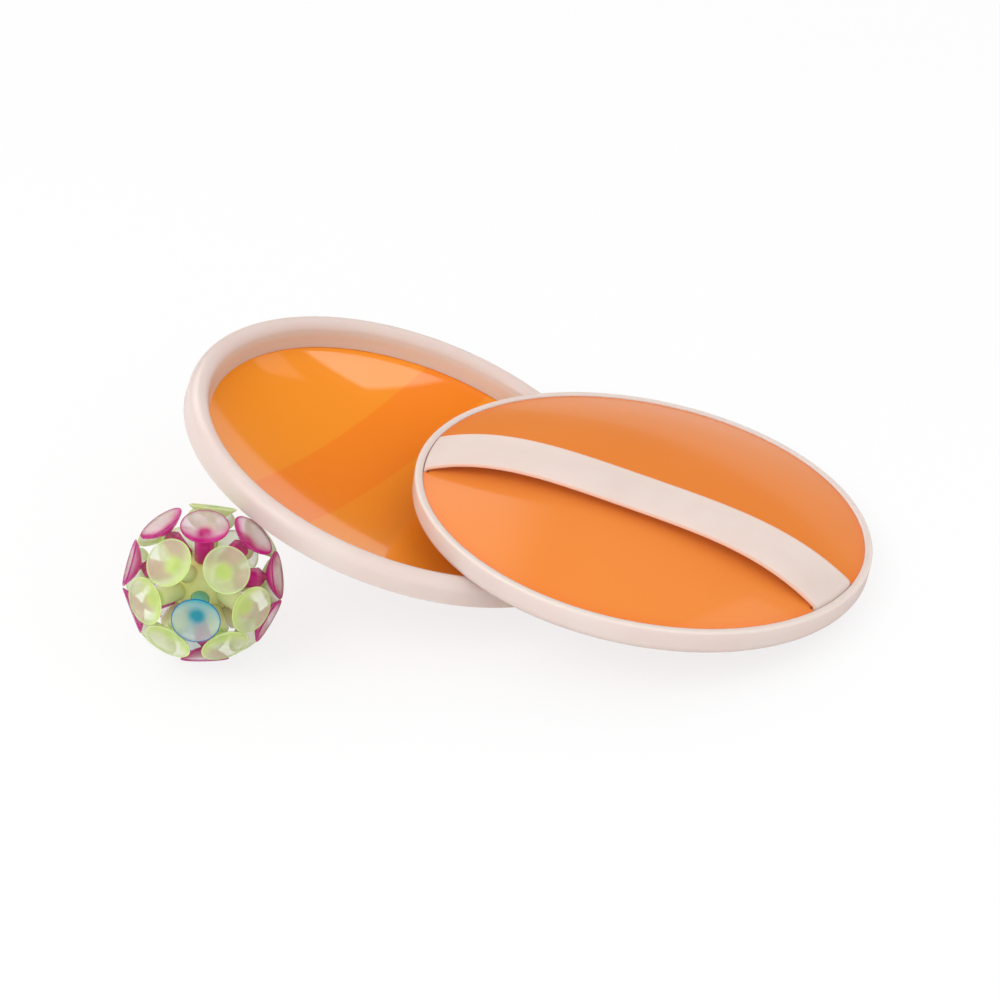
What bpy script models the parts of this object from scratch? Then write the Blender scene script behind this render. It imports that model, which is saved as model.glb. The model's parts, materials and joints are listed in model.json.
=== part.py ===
# Suction catch ball set: two hand discs with straps, and a ball of suction cups.
# Metres, +Z up. The set stands on the plane z = 0 with the middle of its outline at the origin.
import math

import bmesh
import bpy
import numpy as np
from mathutils import Matrix

# Rim of a disc
discRadius = 0.0950
rimHeight = 0.0109
rimWall = 0.0018
crestRadius = 0.0043
lipWidth = 0.0033
lipRound = 0.0010
footWidth = 0.0021
rimWidth = 0.0110
seatGap = 0.0003

# Panel of a disc
panelThickness = 0.0012
panelInset = 0.0011
panelRise = 0.0131
notchGap = 0.0005

# Strap across the back of a disc
strapWidth = 0.0285
strapThickness = 0.0012
strapOffset = -0.0190
strapClear = 0.0026
strapEnd = 0.0011
strapFullness = 2.5
strapTurn = 0.0012
strapTuck = 0.0040

# Sucker
cupRadius = 0.0096
cupDepth = 0.0038
cupWall = 0.0011
cupEdge = 0.0004
cupBend = 0.0056
neckRadius = 0.0015
neckLength = 0.0007
shoulderLength = 0.0018
barrelRadius = 0.0038
barrelBore = 0.0025
boreDepth = 0.0080
lipGap = 0.0003
footGap = 0.0008

# Core that carries the suckers
coreGap = 0.0003
pegGap = 0.0003
pegRoot = 0.0020

# Rows of suckers on the half that faces up: latitude, first longitude and colours.
# The other half is the same, turned over and round by halfTurn.
upperRows = (
    (90.0, 0.0, "magenta"),
    (50.5, 0.0, "magenta lime magenta lime lime"),
    (14.2, 30.9, "lime lime lime magenta lime blue lime magenta"),
)
lowerRows = (
    (90.0, 0.0, "blue"),
    (50.5, 0.0, "magenta lime magenta magenta lime"),
    (14.2, 30.9, "lime magenta lime lime lime lime magenta lime"),
)
halfTurn = 264.9

# How the pieces lie: the rear disc leans on the ball, and the front disc leans on the rear one.
ballTurn = (-57.9, 12.3, 69.4)
ballBearing = -134.0
ballStandOff = 0.0179
rearHeading = -4.5
rearStrapTurn = 60.0
frontBearing = -17.1
discOverlap = 0.0868
frontHeading = 8.3
frontStrapTurn = -24.2
touchGap = 0.0003
steepest = 45.0
tiltStep = 0.5
tiltHalvings = 30

# Facets
discSegments = 48
crestSegments = 5
panelRings = 3
strapSteps = 16
strapStrips = 2
turnSteps = 3
suckerSegments = 9
pegSegments = 6
coreSegments = 12
probeAngles = 120
sharpAngle = 35.0

finishes = {
    "rim": ((0.90, 0.83, 0.81), 0.35),
    "panel": ((0.93, 0.45, 0.13), 0.12),
    "strap": ((0.90, 0.84, 0.80), 0.80),
    "core": ((0.78, 0.86, 0.45), 0.30),
    "lime": ((0.68, 0.83, 0.36), 0.25),
    "magenta": ((0.70, 0.08, 0.45), 0.25),
    "blue": ((0.05, 0.52, 0.66), 0.25),
}


def clearScene():
    for old in list(bpy.data.objects):
        bpy.data.objects.remove(old, do_unlink=True)


def finish(name):
    made = bpy.data.materials.get(name)
    if made is None:
        colour, roughness = finishes[name]
        made = bpy.data.materials.new(name)
        made.use_nodes = True
        shader = made.node_tree.nodes["Principled BSDF"]
        shader.inputs["Base Color"].default_value = (*colour, 1.0)
        shader.inputs["Roughness"].default_value = roughness
        shader.inputs["Metallic"].default_value = 0.0
    return made


def meshOf(name, build, material=None):
    mesh = bpy.data.meshes.new(name)
    build.to_mesh(mesh)
    build.free()
    if material:
        mesh.materials.append(finish(material))
    return mesh


def placed(name, data, parent=None):
    made = bpy.data.objects.new(name, data)
    bpy.context.scene.collection.objects.link(made)
    made.parent = parent
    return made


def helper(made):
    """A cutter or guide that isn't a piece."""
    made.hide_render = True
    made.display_type = "WIRE"
    return made


def combine(target, other, operation):
    modifier = target.modifiers.new(operation.lower(), "BOOLEAN")
    modifier.operation = operation
    modifier.object = other
    modifier.solver = "EXACT"


def arc(centre, radius, start, stop, steps):
    """Points on a round stretch of a section, between two angles in degrees."""
    angles = np.radians(np.linspace(start, stop, steps + 1))
    return [(centre[0] + radius * math.cos(a), centre[1] + radius * math.sin(a)) for a in angles]


def turned(name, section, segments, material, closed=False):
    """A mesh turned about Z. An open section starts and ends on the axis."""
    build = bmesh.new()
    points = [build.verts.new((r, 0.0, z)) for r, z in section]
    ends = points[1:] + points[:1] if closed else points[1:]
    edges = [build.edges.new(pair) for pair in zip(points, ends)]
    bmesh.ops.spin(
        build, geom=points + edges, axis=(0, 0, 1), cent=(0, 0, 0), angle=math.tau, steps=segments
    )
    bmesh.ops.remove_doubles(build, verts=build.verts, dist=1e-6)
    bmesh.ops.recalc_face_normals(build, faces=build.faces)
    mesh = meshOf(name, build, material)
    mesh.shade_smooth()
    mesh.set_sharp_from_angle(angle=math.radians(sharpAngle))
    return mesh


# Disc sections: r out from the middle, z up towards the back, where the strap is.
# The lip stands at z = 0.

innerReach = discRadius - rimWidth
panelEdge = discRadius - rimWall - seatGap
noseRadius = discRadius - lipWidth
strapLeg = noseRadius - seatGap - strapThickness / 2
crestCentre = (discRadius - crestRadius, crestRadius - rimHeight)


def domeHeight(r):
    """Height of the panel's back over the lip: a shallow cap of a sphere."""
    sphere = (panelRise**2 + panelEdge**2) / (2 * panelRise)
    return math.sqrt(sphere**2 - r**2) - (sphere - panelRise) - panelInset


def footHeight(r):
    return domeHeight(r) - panelThickness - seatGap


def rimSection():
    """A moulded channel: outer wall, round crest, sloping inner wall on the panel, lip over its edge."""
    noseLow = domeHeight(noseRadius) + seatGap
    return [
        *arc((discRadius - lipRound, -lipRound), lipRound, 90, 0, 2),
        *arc(crestCentre, crestRadius, 0, -180, crestSegments),
        (innerReach, footHeight(innerReach)),
        (innerReach + footWidth, footHeight(innerReach + footWidth)),
        *arc(crestCentre, crestRadius - rimWall, -180, 0, 2),
        (discRadius - rimWall, seatGap - panelInset),
        (noseRadius, noseLow),
        (noseRadius, noseLow / 2),
        (noseRadius + lipRound / 2, 0.0),
    ]


def panelSection():
    radii = [innerReach * k / panelRings for k in range(panelRings + 1)] + [panelEdge]
    back = [(r, domeHeight(r)) for r in radii]
    front = [(r, z - panelThickness) for r, z in reversed(back)]
    return back + front


def chordReach(radius, across):
    """How far along the strap a circle about the disc's middle lies, at a place across the strap."""
    return math.sqrt(radius**2 - across**2)


def notchCutter(name, side):
    """Cuts the slot through which one end of the strap passes the panel's edge, along the rim's curve."""
    half = strapWidth / 2 + notchGap
    low = domeHeight(panelEdge) - 3 * panelThickness
    high = domeHeight(innerReach) + panelThickness
    spots = np.linspace(strapOffset - half, strapOffset + half, strapStrips + 1)
    inner = [(side * chordReach(strapLeg - strapThickness / 2 - 2 * notchGap, y), y) for y in spots]
    outer = [(side * chordReach(discRadius, y), y) for y in reversed(spots)]
    build = bmesh.new()
    face = build.faces.new([build.verts.new((x, y, low)) for x, y in inner + outer])
    top = bmesh.ops.extrude_face_region(build, geom=[face])["geom"]
    bmesh.ops.translate(
        build, vec=(0, 0, high - low), verts=[v for v in top if isinstance(v, bmesh.types.BMVert)]
    )
    bmesh.ops.recalc_face_normals(build, faces=build.faces)
    return helper(placed(name, meshOf(name, build)))


def strapPath(across):
    """One line along the strap, from end to end: up out of the rim, over the dome and down again."""
    leg = chordReach(strapLeg, across)
    reach = leg - strapTurn
    nearest = max(0.0, abs(strapOffset) - strapWidth / 2)
    rise = domeHeight(nearest) + strapClear + strapThickness / 2 - strapEnd
    slope = rise * strapFullness / reach
    drop = strapEnd - strapTurn - strapThickness
    end = [(leg, drop - strapTuck)]
    for k in range(turnSteps):
        t = k / turnSteps
        x = leg * (1 - t**2) + reach * t**2
        corner = strapEnd - slope * strapTurn
        z = drop * (1 - t) ** 2 + corner * 2 * t * (1 - t) + strapEnd * t**2
        end.append((x, z))
    arch = []
    for x in np.linspace(reach, -reach, strapSteps + 1):
        arch.append((x, strapEnd + rise * (1 - abs(x / reach) ** strapFullness)))
    return end + arch + [(-x, z) for x, z in reversed(end)]


def strapMesh():
    build = bmesh.new()
    rows = []
    for across in np.linspace(strapOffset - strapWidth / 2, strapOffset + strapWidth / 2, strapStrips + 1):
        rows.append([build.verts.new((x, across, z)) for x, z in strapPath(across)])
    for near, far in zip(rows, rows[1:]):
        for k in range(len(near) - 1):
            build.faces.new((near[k], far[k], far[k + 1], near[k + 1]))
    return meshOf("strap", build, "strap")


def makeDisc(name):
    """One hand disc, strap side up, with the middle of its lip at its own origin."""
    disc = placed(name, None)
    rim = turned("rim", rimSection(), discSegments, "rim", closed=True)
    placed(name + "_rim", rim, disc)
    panel = placed(name + "_panel", turned("panel", panelSection(), discSegments, "panel"), disc)
    for label, side in (("right", 1), ("left", -1)):
        cutter = notchCutter(name + "_" + label + "_notch", side)
        cutter.parent = disc
        combine(panel, cutter, "DIFFERENCE")
    strap = placed(name + "_strap", strapMesh(), disc)
    thicken = strap.modifiers.new("thickness", "SOLIDIFY")
    thicken.thickness = strapThickness
    thicken.offset = 0.0
    thicken.use_even_offset = True
    return disc


# Ball: the lips of the nearest two suckers just clear each other, and so do their feet.


def suckerPlan():
    """Direction and colour of each sucker, in the ball's own frame."""
    plan = []
    for rows, side in ((upperRows, 1), (lowerRows, -1)):
        for latitude, first, colours in rows:
            row = colours.split()
            for k, colour in enumerate(row):
                longitude = first + 360.0 * k / len(row)
                if side < 0:
                    longitude = halfTurn - longitude
                turn = Matrix.Rotation(math.radians(longitude), 3, "Z")
                rise = Matrix.Rotation(math.radians(-side * latitude), 3, "Y")
                plan.append(((turn @ rise).col[0].copy(), colour))
    return plan


def spacing(plan):
    """Half the smallest angle between two suckers."""
    return min(a[0].angle(b[0]) for i, a in enumerate(plan) for b in plan[:i]) / 2


def suckerSizes(plan):
    share = math.tan(spacing(plan))
    lip = (cupRadius + lipGap / 2) / share
    foot = (barrelRadius + footGap / 2) / share
    return foot, lip


def cupHeight(r, lip):
    """Height of the cup's hollow face at a radius."""
    return lip - cupDepth * (1 - (r / cupRadius) ** 2)


def suckerSection(foot, lip):
    """From the end of the bore, round the foot and the neck, to the bottom of the cup."""
    neckTop = lip - cupDepth - cupWall
    neckFoot = neckTop - neckLength
    rimInside = cupRadius - cupEdge
    return [
        (0.0, foot + boreDepth),
        (barrelBore, foot + boreDepth),
        (barrelBore, foot),
        (barrelRadius, foot),
        (barrelRadius, neckFoot - shoulderLength),
        (neckRadius, neckFoot),
        (neckRadius, neckTop),
        (cupBend, cupHeight(cupBend, lip) - (cupWall + cupEdge) / 2),
        (cupRadius, lip - cupEdge),
        (rimInside, lip),
        (cupBend, cupHeight(cupBend, lip)),
        (0.0, lip - cupDepth),
    ]


def coreMesh(radius):
    build = bmesh.new()
    bmesh.ops.create_uvsphere(build, u_segments=coreSegments, v_segments=coreSegments // 2, radius=radius)
    return meshOf("ball_core", build, "core")


def pegMesh(plan, foot):
    """All the pegs that the suckers are pushed on, as one helper."""
    build = bmesh.new()
    start = foot - coreGap - pegRoot
    length = foot + boreDepth - coreGap - start
    for direction, colour in plan:
        turn = direction.to_track_quat("Z", "Y").to_matrix().to_4x4()
        bmesh.ops.create_cone(
            build, cap_ends=True, segments=pegSegments,
            radius1=barrelBore - pegGap, radius2=barrelBore - pegGap, depth=length,
            matrix=turn @ Matrix.Translation((0, 0, start + length / 2)),
        )
    return meshOf("pegs", build)


def makeBall(plan, foot, lip):
    ball = placed("ball", None)
    core = placed("ball_core", coreMesh(foot - coreGap), ball)
    pegs = helper(placed("pegs", pegMesh(plan, foot), ball))
    combine(core, pegs, "UNION")
    meshes = {}
    for number, (direction, colour) in enumerate(plan, 1):
        if colour not in meshes:
            section = suckerSection(foot, lip)
            meshes[colour] = turned("sucker_" + colour, section, suckerSegments, colour)
        sucker = placed("sucker_%02d" % number, meshes[colour], ball)
        sucker.rotation_mode = "QUATERNION"
        sucker.rotation_quaternion = direction.to_track_quat("Z", "Y")
    return ball


# How the pieces come to rest


def clearance(points, section):
    """Least distance from points to a turned piece, both as radius and height; negative inside."""
    start = np.array(section)
    step = np.roll(start, -1, axis=0) - start
    length = np.maximum((step**2).sum(axis=1), 1e-18)
    away = points[:, None, :] - start[None]
    along = np.clip((away * step).sum(axis=2) / length, 0.0, 1.0)
    nearest = np.sqrt(((away - along[:, :, None] * step) ** 2).sum(axis=2)).min(axis=1)
    inside = np.zeros(len(points), bool)
    for (r1, z1), (r2, z2) in zip(start, start + step):
        crosses = (z1 > points[:, 1]) != (z2 > points[:, 1])
        if z1 != z2:
            inside ^= crosses & (points[:, 0] < r1 + (points[:, 1] - z1) * (r2 - r1) / (z2 - z1))
    return float(np.where(inside, -nearest, nearest).min())


def ringPoints(section):
    """Points all over a turned piece, in its own frame."""
    found = []
    for angle in np.linspace(0, math.tau, probeAngles, endpoint=False):
        found += [(r * math.cos(angle), r * math.sin(angle), z) for r, z in section]
    return np.array(found)


def moved(points, matrix):
    array = np.array(matrix)
    return points @ array[:3, :3].T + array[:3, 3]


def radial(points):
    return np.column_stack((np.hypot(points[:, 0], points[:, 1]), points[:, 2]))


def leaning(x, y, tilt, heading, strapAngle, dishUp):
    """A disc that leans towards a heading with its lowest edge on the plane z = 0."""
    side = -1.0 if dishUp else 1.0
    height = max(r * math.sin(tilt) - side * z * math.cos(tilt) for r, z in rimSection())
    turn = Matrix.Rotation(math.radians(heading), 4, "Z")
    place = Matrix.Translation((x, y, height)) @ turn @ Matrix.Rotation(tilt, 4, "Y") @ turn.inverted()
    place = place @ Matrix.Rotation(math.radians(strapAngle), 4, "Z")
    return place @ Matrix.Rotation(math.pi, 4, "X") if dishUp else place


def lowered(gapAt):
    """The tilt at which a disc let down from steep comes within touchGap of what it leans on."""
    step = math.radians(tiltStep)
    tilt = math.radians(steepest)
    while tilt > step and gapAt(tilt) > touchGap:
        tilt -= step
    low, high = tilt, tilt + step
    for _ in range(tiltHalvings):
        middle = (low + high) / 2
        if gapAt(middle) > touchGap:
            high = middle
        else:
            low = middle
    return high


def ballPlace(plan, foot, lip):
    """The ball stands on its lowest cups, outside the rear disc's edge."""
    away = discRadius + ballStandOff
    x = away * math.cos(math.radians(ballBearing))
    y = away * math.sin(math.radians(ballBearing))
    first, second, third = (math.radians(a) for a in ballTurn)
    turn = Matrix.Rotation(first, 4, "Z") @ Matrix.Rotation(second, 4, "Y") @ Matrix.Rotation(third, 4, "Z")
    points = moved(suckerPoints(plan, foot, lip), turn)
    return Matrix.Translation((x, y, -points[:, 2].min())) @ turn


def suckerPoints(plan, foot, lip):
    ring = ringPoints(suckerSection(foot, lip))
    turns = [direction.to_track_quat("Z", "Y").to_matrix().to_4x4() for direction, colour in plan]
    return np.concatenate([moved(ring, turn) for turn in turns])


def rearPlace(ball, plan, foot, lip):
    """The rear disc, dish up, with its raised side let down on the ball."""
    points = moved(suckerPoints(plan, foot, lip), ball)

    def place(tilt):
        return leaning(0.0, 0.0, tilt, rearHeading, rearStrapTurn, True)

    def gapAt(tilt):
        return clearance(radial(moved(points, place(tilt).inverted())), rimSection())

    return place(lowered(gapAt))


def frontPlace(rear):
    """The front disc, strap up, with its raised side let down on the rear disc."""
    away = 2 * discRadius - discOverlap
    x = away * math.cos(math.radians(frontBearing))
    y = away * math.sin(math.radians(frontBearing))
    ring = ringPoints(rimSection())

    def place(tilt):
        return leaning(x, y, tilt, frontHeading, frontStrapTurn, False)

    def gapAt(tilt):
        front = place(tilt)
        onRear = radial(moved(ring, rear.inverted() @ front))
        onFront = radial(moved(ring, front.inverted() @ rear))
        sections = (rimSection(), panelSection())
        return min(clearance(points, section) for points in (onRear, onFront) for section in sections)

    return place(lowered(gapAt))


def outline(pieces):
    """Lowest and highest corner of all the pieces, modifiers included."""
    bpy.context.view_layer.update()
    graph = bpy.context.evaluated_depsgraph_get()
    corners = []
    for piece in pieces:
        made = piece.evaluated_get(graph)
        points = np.array([v.co for v in made.to_mesh().vertices])
        corners.append(moved(points, made.matrix_world))
        made.to_mesh_clear()
    corners = np.concatenate(corners)
    return corners.min(axis=0), corners.max(axis=0)


def main():
    clearScene()
    plan = suckerPlan()
    foot, lip = suckerSizes(plan)
    whole = placed("catch_set", None)
    ball = makeBall(plan, foot, lip)
    rear = makeDisc("rear_disc")
    front = makeDisc("front_disc")
    for part in (ball, rear, front):
        part.parent = whole
    ballAt = ballPlace(plan, foot, lip)
    rearAt = rearPlace(ballAt, plan, foot, lip)
    frontAt = frontPlace(rearAt)
    ball.matrix_local = ballAt
    rear.matrix_local = rearAt
    front.matrix_local = frontAt
    low, high = outline([o for o in bpy.data.objects if o.type == "MESH" and not o.hide_render])
    whole.location = (-(low[0] + high[0]) / 2, -(low[1] + high[1]) / 2, -low[2])


main()
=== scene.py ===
# Suction catch ball set: two hand discs and a ball of suction cups, on a plain white floor.
import json
import math
from types import SimpleNamespace

import bpy
import numpy as np
from mathutils import Matrix, Vector


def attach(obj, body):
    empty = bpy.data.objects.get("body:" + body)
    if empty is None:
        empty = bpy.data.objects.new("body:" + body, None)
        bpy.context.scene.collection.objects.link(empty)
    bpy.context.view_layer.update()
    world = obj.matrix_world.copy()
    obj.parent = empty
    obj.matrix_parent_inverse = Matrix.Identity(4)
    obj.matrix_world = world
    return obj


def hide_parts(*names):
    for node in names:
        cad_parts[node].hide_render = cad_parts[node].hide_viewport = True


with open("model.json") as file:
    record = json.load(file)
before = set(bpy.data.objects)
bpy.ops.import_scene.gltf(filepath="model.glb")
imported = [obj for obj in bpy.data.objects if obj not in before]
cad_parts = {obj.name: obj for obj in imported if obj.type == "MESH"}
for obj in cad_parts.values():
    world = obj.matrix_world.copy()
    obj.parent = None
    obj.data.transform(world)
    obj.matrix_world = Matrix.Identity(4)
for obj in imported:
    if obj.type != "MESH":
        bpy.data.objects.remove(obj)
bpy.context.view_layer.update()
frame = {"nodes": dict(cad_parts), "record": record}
print("frame:", len(frame["nodes"]), "nodes")


# Where the pieces lie, read from the frame's own meshes

def pointsOf(node):
    mesh = frame["nodes"][node].data
    points = np.empty(len(mesh.vertices) * 3)
    mesh.vertices.foreach_get("co", points)
    return np.unique(points.reshape(-1, 3).round(6), axis=0)


def spread(points):
    # middle of a cloud of points, and its three directions from the thinnest to the longest
    middle = points.mean(axis=0)
    sizes, directions = np.linalg.eigh(np.cov((points - middle).T))
    return middle, sizes, directions.T


def discPlace(name):
    # middle of the lip as origin, Z out of the back, X along the strap
    rim = pointsOf(name + "_rim")
    strap = pointsOf(name + "_strap")
    middle, sizes, directions = spread(rim)
    back = directions[0]
    if (strap.mean(axis=0) - middle) @ back < 0:
        back = -back
    lip = middle + back * ((rim - middle) @ back).max()
    along = spread(strap)[2][2]
    along = along - back * (along @ back)
    along /= np.linalg.norm(along)
    across = np.cross(back, along)
    if (strap.mean(axis=0) - lip) @ across > 0:
        along, across = -along, -across
    place = Matrix.Identity(4)
    for row in range(3):
        place[row] = (along[row], across[row], back[row], lip[row])
    return place


def ballMiddle(suckers):
    # the point nearest to the axes of all the suckers
    left = np.zeros((3, 3))
    right = np.zeros(3)
    for node in suckers:
        middle, sizes, directions = spread(pointsOf(node))
        odd = 0 if sizes[1] - sizes[0] > sizes[2] - sizes[1] else 2
        flat = np.eye(3) - np.outer(directions[odd], directions[odd])
        left += flat
        right += flat @ middle
    return np.linalg.solve(left, right)


# Modelling: a profile is drawn point by point in edit mode and spun about Z

def deselect():
    if bpy.context.mode != "OBJECT":
        bpy.ops.object.mode_set(mode="OBJECT")
    bpy.ops.object.select_all(action="DESELECT")


def pick(piece):
    deselect()
    piece.select_set(True)
    bpy.context.view_layer.objects.active = piece


def drawProfile(name, points, closed):
    deselect()
    bpy.ops.mesh.primitive_plane_add(size=0.001)
    piece = bpy.context.object
    piece.name = piece.data.name = name
    bpy.ops.object.mode_set(mode="EDIT")
    bpy.ops.mesh.merge(type="CENTER")
    spots = [Vector((r, 0.0, z)) for r, z in points]
    bpy.ops.transform.translate(value=spots[0])
    for before, after in zip(spots, spots[1:]):
        bpy.ops.mesh.extrude_vertices_move(TRANSFORM_OT_translate={"value": after - before})
    if closed:
        bpy.ops.mesh.extrude_vertices_move(TRANSFORM_OT_translate={"value": spots[0] - spots[-1]})
    bpy.ops.mesh.select_all(action="SELECT")
    bpy.ops.mesh.remove_doubles(threshold=1e-7)
    return piece


def spinProfile(piece, steps):
    bpy.ops.mesh.select_all(action="SELECT")
    bpy.ops.mesh.spin(steps=steps, angle=math.tau, center=(0, 0, 0), axis=(0, 0, 1))
    bpy.ops.mesh.select_all(action="SELECT")
    bpy.ops.mesh.remove_doubles(threshold=2e-6)
    bpy.ops.mesh.normals_make_consistent(inside=False)
    bpy.ops.object.mode_set(mode="OBJECT")


def smooth(piece, angle=40):
    pick(piece)
    bpy.ops.object.shade_smooth_by_angle(angle=math.radians(angle))


def applyModifiers(piece):
    pick(piece)
    for modifier in list(piece.modifiers):
        bpy.ops.object.modifier_apply(modifier=modifier.name)


def keepLocal(piece):
    # the piece's own coordinates, for patterns that follow it after it has been placed
    attribute = piece.data.attributes.new("onPiece", "FLOAT_VECTOR", "POINT")
    points = np.empty(len(piece.data.vertices) * 3, np.float32)
    piece.data.vertices.foreach_get("co", points)
    attribute.data.foreach_set("vector", points)


def settle(piece, place):
    # lays the piece in its place, with its object left at the origin
    pick(piece)
    piece.matrix_world = place
    bpy.ops.object.transform_apply(location=True, rotation=True, scale=True)


def copyOf(piece, name):
    made = piece.copy()
    made.data = piece.data.copy()
    made.name = made.data.name = name
    bpy.context.scene.collection.objects.link(made)
    return made


def arc(centre, radius, start, stop, steps):
    angles = np.radians(np.linspace(start, stop, steps + 1))
    return [(centre[0] + radius * math.cos(a), centre[1] + radius * math.sin(a)) for a in angles]


# Materials

class Field:
    # one socket of a material's nodes; arithmetic on it adds Math nodes

    def __init__(self, tree, socket=None):
        self.tree = tree
        self.socket = socket

    def node(self, kind, settings=None, values=None, out=0):
        made = self.tree.nodes.new("ShaderNode" + kind)
        for name, value in (settings or {}).items():
            setattr(made, name, value)
        for name, value in (values or {}).items():
            if isinstance(value, Field):
                self.tree.links.new(value.socket, made.inputs[name])
            else:
                made.inputs[name].default_value = value
        return Field(self.tree, made.outputs[out])

    def parts(self):
        # x, y and z of a vector
        split = self.tree.nodes.new("ShaderNodeSeparateXYZ")
        self.tree.links.new(self.socket, split.inputs[0])
        return [Field(self.tree, socket) for socket in split.outputs]

    def maths(self, operation, *values):
        return self.node("Math", {"operation": operation}, dict(enumerate(values)))

    def __add__(self, other):
        return self.maths("ADD", self, other)

    def __sub__(self, other):
        return self.maths("SUBTRACT", self, other)

    def __rsub__(self, other):
        return self.maths("SUBTRACT", other, self)

    def __mul__(self, other):
        return self.maths("MULTIPLY", self, other)

    __radd__ = __add__
    __rmul__ = __mul__

    def __pow__(self, other):
        return self.maths("POWER", self, other)

    def size(self):
        return self.maths("ABSOLUTE", self)

    def rise(self, low, high):
        # 0 up to low, 1 from high on, smooth between
        return self.node("MapRange", {"interpolation_type": "SMOOTHSTEP"},
                         {"Value": self, "From Min": low, "From Max": high})

    def fall(self, low, high):
        return 1.0 - self.rise(low, high)

    def mix(self, first, second):
        # this value is the share of the second colour
        colours = {0: self, 6: tint(first), 7: tint(second)}
        return self.node("Mix", {"data_type": "RGBA"}, colours, out=2)


def tint(value):
    return value if isinstance(value, Field) else (*value, 1.0)


def linear(red, green, blue):
    # a colour as a picture editor shows it, 0 to 255, turned into what a shader takes
    shares = [value / 255 for value in (red, green, blue)]
    return tuple(s / 12.92 if s <= 0.04045 else ((s + 0.055) / 1.055) ** 2.4 for s in shares)


def newMaterial(name, constants):
    made = bpy.data.materials.new(name)
    made.use_nodes = True
    shader = made.node_tree.nodes["Principled BSDF"]
    for socket, value in constants.items():
        shader.inputs[socket].default_value = value
    return made, Field(made.node_tree), shader


def feed(tree, shader, **sockets):
    for name, value in sockets.items():
        tree.links.new(value.socket, shader.inputs[name.replace("_", " ")])


def ownPlace(start):
    # the place on the piece, and its x, y, z and radius from the piece's axis in millimetres
    place = start.node("Attribute", {"attribute_name": "onPiece"}, out="Vector")
    x, y, z = (part * 1000.0 for part in place.parts())
    radius = (x * x + y * y) ** 0.5
    return SimpleNamespace(place=place, radius=radius, x=x, y=y, z=z)


def glow(made, shader, colour, share):
    # lets light from behind come through: a share of the surface is translucent
    tree = made.node_tree
    through = tree.nodes.new("ShaderNodeBsdfTranslucent")
    tree.links.new(colour.socket, through.inputs["Color"])
    mixed = tree.nodes.new("ShaderNodeMixShader")
    mixed.inputs[0].default_value = share
    tree.links.new(shader.outputs[0], mixed.inputs[1])
    tree.links.new(through.outputs[0], mixed.inputs[2])
    tree.links.new(mixed.outputs[0], tree.nodes["Material Output"].inputs["Surface"])


def noise(start, place, scale, detail=2.0):
    return start.node("TexNoise", None, {"Vector": place, "Scale": scale, "Detail": detail}, out="Fac")


# Rim of a disc: a translucent white ring, round on the dish side, with a narrow lip on the back

rimShape = {
    "radius": 0.0950, "height": 0.0109, "wall": 0.0018, "crest": 0.0043, "lip": 0.0033,
    "round": 0.0010, "innerReach": 0.0840, "gap": 0.0003, "steps": 240,
    "footShare": 1.15, "footRound": (0.0002, 0.0005),
    "noseHeights": (0.45, 0.2), "noseReaches": (0.15, 0.6),
}
panelShape = {
    "thickness": 0.0012, "inset": 0.0011, "rise": 0.0131, "rings": 24, "notchGap": 0.0005,
    "outerRings": [0.0865, 0.0890, 0.0912], "edgeRound": 0.0002,
}
panelEdge = rimShape["radius"] - rimShape["wall"] - rimShape["gap"]


def domeHeight(r):
    # height of the panel's back over the lip
    rise = panelShape["rise"]
    sphere = (rise**2 + panelEdge**2) / (2 * rise)
    return math.sqrt(sphere**2 - r**2) - (sphere - rise) - panelShape["inset"]


def rimProfile():
    s = rimShape
    crest = (s["radius"] - s["crest"], s["crest"] - s["height"])
    nose = s["radius"] - s["lip"]
    noseLow = domeHeight(nose)
    upper, top = s["noseHeights"]
    bend, reach = s["noseReaches"]
    foot = s["innerReach"]
    footWidth = s["wall"] * s["footShare"]
    out, up = s["footRound"]
    under = panelShape["thickness"] + s["gap"]
    return [
        *arc((s["radius"] - s["round"], -s["round"]), s["round"], 90, 0, 6),
        *arc(crest, s["crest"], 0, -180, 28),
        (foot + out, domeHeight(foot) - under - up),
        (foot, domeHeight(foot) - under),
        (foot + footWidth, domeHeight(foot + footWidth) - under),
        *arc(crest, s["crest"] - s["wall"], -180, 0, 12),
        (s["radius"] - s["wall"], s["gap"] - panelShape["inset"]),
        (nose, noseLow),
        (nose, noseLow * upper),
        (nose + s["round"] * bend, noseLow * top),
        (nose + s["round"] * reach, 0.0),
    ]


# colours as a picture editor shows them, and ranges in millimetres on the piece
rimLook = {
    # painted light: the lip colour is whiter than the body, for light coming through the thin lip
    "body": ((246, 226, 219), (249, 233, 226)), "lip": (255, 239, 229),
    # painted light: the wall colours tint the rim's inner wall salmon towards the panel, for orange
    # light thrown from it, and are lighter than the body to make up for the shade there
    "wall": ((255, 238, 226), (255, 218, 194)), "paintedBounceHeight": (-8.0, -4.0),
    "innerRadius": (87.5, 91.0), "innerHeight": (-10.5, -4.0),
    "lipRadius": (90.5, 92.0), "lipHeight": (-1.2, -0.2), "rough": 0.20, "glow": 0.3,
}


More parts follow.
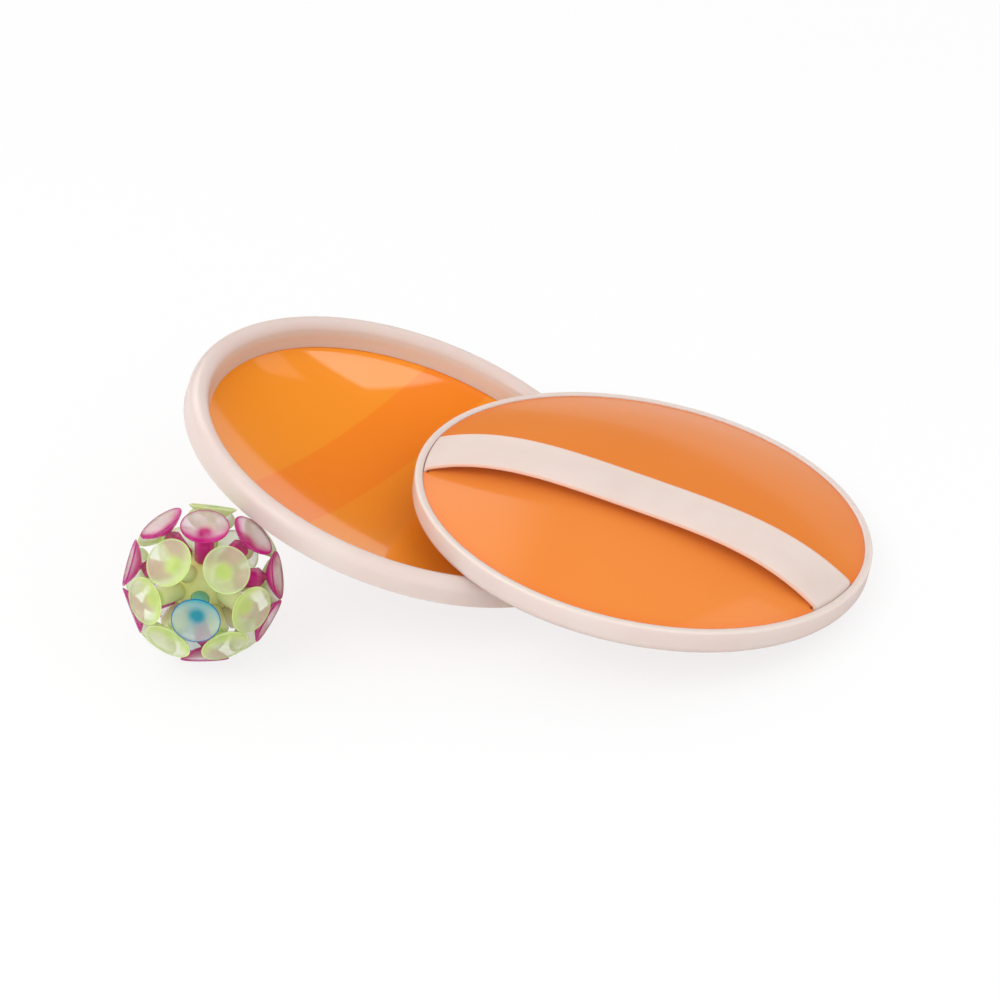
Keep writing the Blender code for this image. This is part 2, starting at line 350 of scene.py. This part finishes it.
def rimPlastic():
    look = rimLook
    made, start, shader = newMaterial("rim plastic", {
        "IOR": 1.46, "Subsurface Weight": 0.4, "Subsurface Radius": (0.006, 0.0035, 0.0026),
        "Subsurface Scale": 1.0,
    })
    spot = ownPlace(start)
    # painted light on the inner wall: salmon for the panel's orange light, set by height on the wall
    inner = spot.radius.fall(*look["innerRadius"]) * spot.z.rise(*look["innerHeight"])
    # painted light: the thin lip on the back is painted whiter, for light coming through it
    lip = spot.z.rise(*look["lipHeight"]) * spot.radius.rise(*look["lipRadius"])
    cloudy = noise(start, spot.place, 22.0).rise(0.3, 0.7)
    body = cloudy.mix(*(linear(*colour) for colour in look["body"]))
    wall = spot.z.rise(*look["paintedBounceHeight"]).mix(*(linear(*colour) for colour in look["wall"]))
    colour = inner.mix(lip.mix(body, linear(*look["lip"])), wall)
    rough = noise(start, spot.place, 60.0) * 0.06 + look["rough"]
    feed(made.node_tree, shader, Base_Color=colour, Roughness=rough)
    glow(made, shader, colour, look["glow"])
    return made


# Panel of a disc: a thin orange dome, glossy and a little see-through

def panelProfile():
    s = panelShape
    inner = np.linspace(0.0, rimShape["innerReach"], s["rings"]).tolist()
    radii = inner + s["outerRings"] + [panelEdge - s["edgeRound"]]
    back = [(r, domeHeight(r)) for r in radii]
    front = [(r, z - s["thickness"]) for r, z in reversed(back)]
    low, high = front[0][1], back[-1][1]
    edge = [(panelEdge, high - s["edgeRound"]), (panelEdge, low + s["edgeRound"])]
    return back + edge + front


notchShape = {"columns": 14, "beyond": 0.001, "below": -0.006, "height": 0.010}


def notch(name, side):
    # the slot at one end of the strap, along the rim's curve
    half = strapShape["width"] / 2 + panelShape["notchGap"]
    inside = strapLeg - strapShape["thickness"] / 2 - 2 * panelShape["notchGap"]
    deselect()
    bpy.ops.mesh.primitive_grid_add(x_subdivisions=1, y_subdivisions=notchShape["columns"], size=1.0)
    piece = bpy.context.object
    piece.name = name
    for point in piece.data.vertices:
        across = strapShape["offset"] + point.co.y * 2 * half
        reach = rimShape["radius"] + notchShape["beyond"] if point.co.x > 0 else inside
        point.co = (side * math.sqrt(reach**2 - across**2), across, notchShape["below"])
    bpy.ops.object.mode_set(mode="EDIT")
    bpy.ops.mesh.select_all(action="SELECT")
    bpy.ops.mesh.extrude_region_move(TRANSFORM_OT_translate={"value": (0, 0, notchShape["height"])})
    bpy.ops.mesh.select_all(action="SELECT")
    bpy.ops.mesh.normals_make_consistent(inside=False)
    bpy.ops.object.mode_set(mode="OBJECT")
    return piece


panelLook = {
    # painted light: dish and outside are the one orange of the sheet, the dish side set lighter for its
    # shade and the back set darker for its brighter light
    "dish": ((255, 148, 32), (255, 153, 38)), "outside": ((236, 136, 58), (238, 140, 63)),
    "edge": (238, 132, 60), "edgeRadius": (86.0, 92.0), "backDepth": (0.5, 1.0),
    # painted shadow of the strap behind the panel, on the dish side
    "strapShadowColour": (254, 134, 28), "strapMiddle": -19.0, "strapHalf": (14.0, 15.0), "strapShadowShare": 0.8,
    "rough": 0.18, "coat": (0.12, 0.88), "glow": 0.1,
}


def panelPlastic():
    look = panelLook
    made, start, shader = newMaterial("panel plastic", {
        "IOR": 1.5, "Specular IOR Level": 0.1, "Coat Roughness": 0.04, "Coat IOR": 1.5,
    })
    spot = ownPlace(start)
    rise, edge = panelShape["rise"] * 1000, panelEdge * 1000
    sphere = (rise**2 + edge**2) / (2 * rise)
    # depth under the panel's back, which tells the dish side from the back
    dome = (sphere**2 - spot.radius * spot.radius) ** 0.5
    depth = dome - (sphere - rise + panelShape["inset"] * 1000) - spot.z
    cloudy = noise(start, spot.place, 9.0).rise(0.35, 0.65)
    dish = cloudy.mix(*(linear(*colour) for colour in look["dish"]))
    # painted shadow: a darker band on the dish side where the strap behind keeps light from coming
    # through
    band = (spot.y - look["strapMiddle"]).size().fall(*look["strapHalf"])
    dish = (band * look["strapShadowShare"]).mix(dish, linear(*look["strapShadowColour"]))
    # painted light: the back takes a darker orange than the dish, though both are the same sheet
    outside = cloudy.mix(*(linear(*colour) for colour in look["outside"]))
    body = depth.rise(*look["backDepth"])
    colour = spot.radius.rise(*look["edgeRadius"]).mix(body.mix(outside, dish), linear(*look["edge"]))
    rough = noise(start, spot.place, 40.0) * 0.04 + look["rough"]
    least, more = look["coat"]
    feed(made.node_tree, shader, Base_Color=colour, Roughness=rough, Coat_Weight=body * more + least)
    glow(made, shader, colour, look["glow"])
    return made


# Strap across the back of a disc

strapShape = {
    "width": 0.0285, "thickness": 0.0012, "offset": -0.0190, "clear": 0.0026, "end": 0.0011,
    "fullness": 3.5, "turn": 0.0012, "tuck": 0.0040, "steps": 120, "strips": 24,
    "turnSteps": 6, "skin": 0.0001, "edgeRound": 0.0004,
}
strapLeg = rimShape["radius"] - rimShape["lip"] - rimShape["gap"] - strapShape["thickness"] / 2


def strapLine(across):
    # up out of the rim, over the dome and down again, at a place across the strap
    s = strapShape
    leg = math.sqrt(strapLeg**2 - across**2)
    reach = leg - s["turn"]
    nearest = max(0.0, abs(s["offset"]) - s["width"] / 2)
    rise = domeHeight(nearest) + s["clear"] + s["thickness"] / 2 - s["end"]
    slope = rise * s["fullness"] / reach
    drop = s["end"] - s["turn"] - s["thickness"]
    end = [(leg, drop - s["tuck"]), (leg, drop - s["tuck"] / 2)]
    for k in range(s["turnSteps"]):
        t = k / s["turnSteps"]
        x = leg * (1 - t**2) + reach * t**2
        corner = s["end"] - slope * s["turn"]
        end.append((x, drop * (1 - t) ** 2 + corner * 2 * t * (1 - t) + s["end"] * t**2))
    arch = []
    for x in np.linspace(reach, -reach, s["steps"] + 1):
        arch.append((x, s["end"] + rise * (1 - abs(x / reach) ** s["fullness"])))
    return end + arch + [(-x, z) for x, z in reversed(end)]


def makeStrap(name):
    s = strapShape
    columns = len(strapLine(s["offset"]))
    deselect()
    bpy.ops.mesh.primitive_grid_add(x_subdivisions=columns - 1, y_subdivisions=s["strips"], size=1.0)
    piece = bpy.context.object
    piece.name = piece.data.name = name
    lengths = {}
    for point in piece.data.vertices:
        row = round((point.co.y + 0.5) * s["strips"])
        column = round((point.co.x + 0.5) * (columns - 1))
        across = s["offset"] + s["width"] * (row / s["strips"] - 0.5)
        if row not in lengths:
            lengths[row] = strapLine(across)
        x, z = lengths[row][columns - 1 - column]
        point.co = (x, across, z)
    thicken = piece.modifiers.new("thickness", "SOLIDIFY")
    thicken.thickness = s["thickness"] - s["skin"]
    thicken.offset = 0.0
    thicken.use_even_offset = True
    applyModifiers(piece)
    soften = piece.modifiers.new("edge", "BEVEL")
    soften.width = s["edgeRound"]
    soften.segments = 3
    soften.angle_limit = math.radians(50)
    applyModifiers(piece)
    pick(piece)
    bpy.ops.object.mode_set(mode="EDIT")
    bpy.ops.mesh.select_all(action="SELECT")
    bpy.ops.mesh.normals_make_consistent(inside=False)
    bpy.ops.object.mode_set(mode="OBJECT")
    smooth(piece, 60)
    return piece


strapLook = {
    "body": ((243, 228, 219), (247, 234, 226)), "fringe": (246, 208, 188), "fringeWidth": (0.5, 1.3),
    "half": 14.25, "middle": -19.0, "threads": (6.0, 8.0), "glow": 0.3,
}


def webbing():
    look = strapLook
    made, start, shader = newMaterial("strap webbing", {
        "Sheen Weight": 0.25, "Sheen Roughness": 0.5, "Subsurface Weight": 0.15,
        "Subsurface Radius": (0.003, 0.002, 0.0016), "Subsurface Scale": 1.0,
        "Specular IOR Level": 0.2,
    })
    spot = ownPlace(start)
    fromEdge = look["half"] - (spot.y - look["middle"]).size()
    fringe = fromEdge.fall(*look["fringeWidth"])
    # threads for each radian, along and across the strap
    along, across = (part * threads for part, threads in zip((spot.x, spot.y), look["threads"]))
    weave = across.maths("SINE", across) * along.maths("SINE", along)
    worn = noise(start, spot.place, 45.0, 4.0).rise(0.3, 0.75)
    body = worn.mix(*(linear(*colour) for colour in look["body"]))
    colour = fringe.mix(body, linear(*look["fringe"]))
    height = weave * 0.5 + noise(start, spot.place, 900.0) * 0.6
    bump = start.node("Bump", None, {"Strength": 0.18, "Distance": 0.0003, "Height": height})
    feed(made.node_tree, shader, Base_Color=colour, Roughness=worn * 0.1 + 0.75, Normal=bump)
    glow(made, shader, colour, look["glow"])
    return made


# Sucker: a hollow barrel, a narrow neck and a thin flared cup

suckerShape = {
    "cup": 0.0096, "depth": 0.0038, "wall": 0.0011, "edge": 0.0004, "neck": 0.0015,
    "neckLength": 0.0007, "shoulder": 0.0018, "barrel": 0.0038, "bore": 0.0025, "boreDepth": 0.0080,
    "pegGap": 0.0003, "pegRoot": 0.0023, "steps": 56, "rings": 12,
}


def suckerProfile(foot, lip):
    s = suckerShape
    hollow = lambda r: lip - s["depth"] * (1 - (r / s["cup"]) ** 2)
    neckTop = lip - s["depth"] - s["wall"]
    neckFoot = neckTop - s["neckLength"]
    radii = np.linspace(s["neck"] + 0.0007, s["cup"] - 0.0003, s["rings"])
    share = lambda r: (r - s["neck"]) / (s["cup"] - s["neck"])
    back = [(r, hollow(r) - s["wall"] + (s["wall"] - s["edge"]) * share(r)) for r in radii]
    edge = s["edge"] / 2
    tip = arc((s["cup"] - edge, lip - edge), edge, -70, 110, 6)
    inside = [(r, hollow(r)) for r in np.linspace(s["cup"] - 0.0006, 0.0, s["rings"] + 2)]
    body = neckFoot - s["shoulder"]
    return [
        (0.0, foot + s["boreDepth"]),
        (s["bore"] - 0.0003, foot + s["boreDepth"]),
        (s["bore"], foot + s["boreDepth"] - 0.0003),
        (s["bore"], foot + 0.0003),
        (s["bore"] + 0.0002, foot),
        (s["barrel"] - 0.0003, foot),
        (s["barrel"], foot + 0.0003),
        (s["barrel"], body - 0.0002),
        (s["barrel"] - 0.0003, body + 0.0002),
        (s["neck"] + 0.0010, neckFoot - 0.0006),
        (s["neck"] + 0.0003, neckFoot - 0.0001),
        (s["neck"], neckFoot + 0.0002),
        (s["neck"], neckTop - 0.0001),
        (s["neck"] + 0.0002, neckTop + 0.0001),
        *back, *tip, *inside,
    ]


suckerColours = {
    "lime": {
        "body": linear(246, 252, 182), "deep": linear(202, 228, 130), "pale": linear(234, 244, 192),
        "edge": linear(200, 232, 132),
    },
    "magenta": {
        "body": linear(214, 20, 140), "deep": linear(200, 0, 128), "pale": linear(240, 206, 218),
        "edge": linear(160, 20, 92),
    },
    "blue": {
        "body": linear(110, 200, 184), "deep": linear(0, 156, 178), "pale": linear(200, 226, 222),
        "edge": linear(0, 92, 164),
    },
}


# radii, and depths under the lip where the cup and the barrel begin and end, in millimetres
suckerLook = {
    "cupRadius": (1.6, 5.2), "cupDepth": (5.6, 3.6), "brimRadius": (8.9, 9.35),
    "barrelDepth": (7.5, 6.0), "solid": 0.68, "cupClear": 0.34, "cupAlong": 0.45, "brimSolid": 0.35,
}


def suckerRubber(name, lip):
    look = suckerLook
    colours = suckerColours[name]
    made, start, shader = newMaterial("soft " + name, {
        "IOR": 1.42, "Subsurface Weight": 0.6, "Subsurface Radius": (0.004, 0.004, 0.004),
        "Subsurface Scale": 1.0,
    })
    spot = ownPlace(start)
    below = lambda depths: [lip * 1000 - depth for depth in depths]
    cup = spot.radius.rise(*look["cupRadius"]) * spot.z.rise(*below(look["cupDepth"]))
    brim = spot.radius.rise(*look["brimRadius"])
    # clear plastic looks deeper where it is seen along its wall
    along = start.node("LayerWeight", None, {"Blend": 0.35}, out="Facing").rise(0.12, 0.55)
    cloudy = noise(start, spot.place, 120.0).rise(0.3, 0.7)
    wall = along.mix(colours["pale"], colours["deep"])
    barrel = spot.z.fall(*below(look["barrelDepth"]))
    solid = barrel.mix(colours["deep"], colours["body"])
    colour = brim.mix(cup.mix(solid, wall), colours["edge"])
    clear = along * look["cupAlong"] - look["cupClear"]
    opaque = brim * look["brimSolid"] + cup * clear + look["solid"]
    feed(made.node_tree, shader, Base_Color=colour, Roughness=cloudy * 0.05 + 0.08, Alpha=opaque)
    return made


# Core: a small ball with a peg for every sucker

def makeCore(name, middle, turns, foot):
    s = suckerShape
    deselect()
    bpy.ops.mesh.primitive_uv_sphere_add(segments=64, ring_count=32, radius=foot - s["pegGap"])
    core = bpy.context.object
    core.name = core.data.name = name
    start = foot - s["pegRoot"]
    top = foot + s["boreDepth"] - s["pegGap"]
    thick = s["bore"] - s["pegGap"]
    pegs = []
    for turn in turns:
        deselect()
        bpy.ops.mesh.primitive_cylinder_add(vertices=24, radius=thick, depth=top - start)
        peg = bpy.context.object
        peg.matrix_world = turn @ Matrix.Translation((0, 0, (start + top) / 2))
        pegs.append(peg)
    deselect()
    for peg in pegs:
        peg.select_set(True)
    bpy.context.view_layer.objects.active = pegs[0]
    bpy.ops.object.join()
    bpy.ops.object.transform_apply(location=True, rotation=True, scale=True)
    pegs = bpy.context.object
    fuse = core.modifiers.new("pegs", "BOOLEAN")
    fuse.operation = "UNION"
    fuse.object = pegs
    fuse.solver = "EXACT"
    fuse.use_self = True
    applyModifiers(core)
    bpy.data.objects.remove(pegs)
    smooth(core)
    keepLocal(core)
    settle(core, Matrix.Translation(middle))
    return core


def corePlastic():
    made, start, shader = newMaterial("core plastic", {
        "IOR": 1.45, "Subsurface Weight": 0.6, "Subsurface Radius": (0.006, 0.006, 0.006),
        "Subsurface Scale": 1.0, "Alpha": 0.8,
    })
    cloudy = noise(start, ownPlace(start).place, 90.0).rise(0.3, 0.7)
    colour = cloudy.mix(linear(254, 252, 160), linear(246, 252, 170))
    feed(made.node_tree, shader, Base_Color=colour, Roughness=cloudy * 0.05 + 0.15)
    return made


# Making the set

rim = rimPlastic()
panel = panelPlastic()
strap = webbing()


def makeDisc(name):
    place = discPlace(name)
    ring = drawProfile(name + "_ring", rimProfile(), True)
    spinProfile(ring, rimShape["steps"])
    smooth(ring, 50)
    dome = drawProfile(name + "_dome", panelProfile(), False)
    spinProfile(dome, rimShape["steps"])
    for side in (1, -1):
        cutter = notch(name + "_notch", side)
        cut = dome.modifiers.new("notch", "BOOLEAN")
        cut.operation = "DIFFERENCE"
        cut.object = cutter
        cut.solver = "EXACT"
        applyModifiers(dome)
        bpy.data.objects.remove(cutter)
    smooth(dome, 35)
    band = makeStrap(name + "_band")
    for piece, node, slot, material in (
        (ring, "_rim", "rim", rim), (dome, "_panel", "panel", panel), (band, "_strap", "strap", strap),
    ):
        piece.data.materials.clear()
        piece.data.materials.append(material)
        keepLocal(piece)
        settle(piece, place)
        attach(piece, "root")
        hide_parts(name + node)
    line = strapLine(strapShape["offset"])
    return place


def makeBall():
    slotOf = {part["node"]: part["material_slot"] for part in frame["record"]["subparts"]}
    suckers = sorted(node for node in frame["nodes"] if node.startswith("sucker_"))
    middle = Vector(ballMiddle(suckers))
    turns = {}
    for node in suckers:
        out = Vector(pointsOf(node).mean(axis=0)) - middle
        turns[node] = out.to_track_quat("Z", "Y").to_matrix().to_4x4()
    along = (pointsOf(suckers[0]) - np.array(middle)) @ np.array(turns[suckers[0]])[:3, 2]
    foot, lip = along.min(), along.max()
    model = drawProfile("sucker_model", suckerProfile(foot, lip), False)
    spinProfile(model, suckerShape["steps"])
    smooth(model, 50)
    keepLocal(model)
    model.data.materials.clear()
    rubbers = {colour: suckerRubber(colour, lip) for colour in suckerColours}
    for node in suckers:
        made = copyOf(model, node.replace("sucker", "cup"))
        made.data.materials.append(rubbers[slotOf[node]])
        settle(made, Matrix.Translation(middle) @ turns[node])
        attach(made, "root")
        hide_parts(node)
    bpy.data.objects.remove(model)
    core = makeCore("core", middle, list(turns.values()), foot)
    core.data.materials.clear()
    core.data.materials.append(corePlastic())
    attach(core, "root")
    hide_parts("ball_core")
    print("ball made,", len(suckers), "suckers")


rearPlace = makeDisc("rear_disc")
makeDisc("front_disc")
makeBall()


# Floor, light and camera

stageLook = {"floorSize": 12.0, "floorGap": 0.0003, "floorShare": 0.8, "world": 0.92}
reflected = {
    # what glossy surfaces see in place of the white background, placed to give the reflections in the
    # photograph: a dark room over a white horizon that falls off with the azimuth, and soft boxes by
    # azimuth and height in degrees, whose lower edge climbs by the slope
    "horizon": {"azimuth": (56.5, 93.5), "height": (20.0, 2.0), "soft": 0.6, "light": 0.7},
    "dark": 0.06,
    "boxes": [
        {"azimuth": (44.0, 52.8), "height": (36.2, 51.0), "slope": 0.45, "soft": 1.0, "light": 2.6},
        {"azimuth": (40.0, 52.0), "height": (29.8, 34.0), "slope": 0.0, "soft": 1.0, "light": 0.7},
        {"azimuth": (86.0, 130.0), "height": (26.0, 60.0), "slope": 0.0, "soft": 9.0, "light": 2.6},
    ],
}


def rays(start, *kinds):
    paths = start.tree.nodes.new("ShaderNodeLightPath")
    return [Field(start.tree, paths.outputs["Is " + kind + " Ray"]) for kind in kinds]


def seenWhite(start):
    # 1 for what the camera sees directly or through a clear piece
    camera, through = rays(start, "Camera", "Transmission")
    return camera.maths("MAXIMUM", camera, through)


def makeStage():
    deselect()
    low = (0, 0, -stageLook["floorGap"])
    bpy.ops.mesh.primitive_plane_add(size=stageLook["floorSize"], location=low)
    floor = bpy.context.object
    floor.name = "floor"
    bpy.ops.object.transform_apply(location=True, rotation=True, scale=True)
    made, start, shader = newMaterial("white floor", {
        "Base Color": (0.86, 0.86, 0.86, 1.0), "Roughness": 0.9,
    })
    tree = made.node_tree
    lit = start.node("Emission", None, {"Color": (1, 1, 1, 1), "Strength": 1.0})
    share = seenWhite(start) * stageLook["floorShare"]
    mixed = start.node("MixShader", None, {0: share, 1: Field(tree, shader.outputs[0]), 2: lit})
    tree.links.new(mixed.socket, tree.nodes["Material Output"].inputs["Surface"])
    floor.data.materials.append(made)


def between(value, bounds, soft):
    low, high = bounds
    return value.rise(low - soft / 2, low + soft / 2) * value.fall(high - soft / 2, high + soft / 2)


def makeWorld():
    world = bpy.data.worlds.new("studio")
    bpy.context.scene.world = world
    world.use_nodes = True
    tree = world.node_tree
    start = Field(tree)
    white = seenWhite(start)
    glossy, = rays(start, "Glossy")
    x, y, z = start.node("TexCoord", out="Generated").parts()
    azimuth = y.maths("ARCTAN2", y, x) * math.degrees(1)
    height = z.maths("ARCSINE", z) * math.degrees(1)
    horizon = reflected["horizon"]
    (west, east), (tall, low) = horizon["azimuth"], horizon["height"]
    edge = start.node("MapRange", None, {
        "Value": azimuth, "From Min": west, "From Max": east, "To Min": tall, "To Max": low,
    })
    sky = (height - edge).fall(-horizon["soft"], horizon["soft"]) * horizon["light"] + reflected["dark"]
    for box in reflected["boxes"]:
        level = height - (azimuth - box["azimuth"][0]) * box["slope"]
        wide = between(azimuth, box["azimuth"], box["soft"])
        sky = sky + wide * between(level, box["height"], box["soft"]) * box["light"]
    plain = white * (1.0 - stageLook["world"]) + stageLook["world"]
    strength = plain + glossy * (sky - plain)
    background = tree.nodes["Background"]
    background.inputs["Color"].default_value = (1.0, 1.0, 1.0, 1.0)
    tree.links.new(strength.socket, background.inputs["Strength"])


# where each lamp hangs, how wide it is in metres and its power in watts
lamps = {
    "key": {"place": (-1.1, -0.7, 1.4), "size": 1.2, "power": 12.0},
    "fill": {"place": (0.9, -1.5, 1.2), "size": 1.6, "power": 5.0},
}


def addLamp(name, place, size, power):
    light = bpy.data.lights.new(name, "AREA")
    light.shape = "SQUARE"
    light.size = size
    light.energy = power
    lamp = bpy.data.objects.new(name, light)
    bpy.context.scene.collection.objects.link(lamp)
    facing = Vector(place).to_track_quat("Z", "Y").to_matrix().to_4x4()
    lamp.matrix_world = Matrix.Translation(place) @ facing


# fitted to the photograph: height and roll in degrees, lens, and the target from the rear disc's middle
cameraLook = {
    "height": 31.703, "roll": -2.118, "lens": 109.16, "distance": 1.300, "fromRear": (0.03958, 0.02338),
}


def makeCamera():
    look = cameraLook
    height = math.radians(look["height"])
    back = Vector((0.0, -math.cos(height), math.sin(height)))
    roll = Matrix.Rotation(math.radians(look["roll"]), 4, "Z")
    turn = Matrix.Rotation(math.radians(90) - height, 4, "X") @ roll
    data = bpy.data.cameras.new("camera")
    data.lens = look["lens"]
    data.sensor_width = 36.0
    data.clip_start = 0.05
    data.clip_end = 50.0
    camera = bpy.data.objects.new("camera", data)
    bpy.context.scene.collection.objects.link(camera)
    middle = rearPlace.translation
    target = Vector((middle.x + look["fromRear"][0], middle.y + look["fromRear"][1], 0.0))
    camera.matrix_world = Matrix.Translation(target + back * look["distance"]) @ turn
    bpy.context.scene.camera = camera


makeStage()
makeWorld()
for name, lamp in lamps.items():
    addLamp(name, **lamp)
makeCamera()
bpy.context.scene.view_settings.view_transform = "Standard"
print("stage ready")
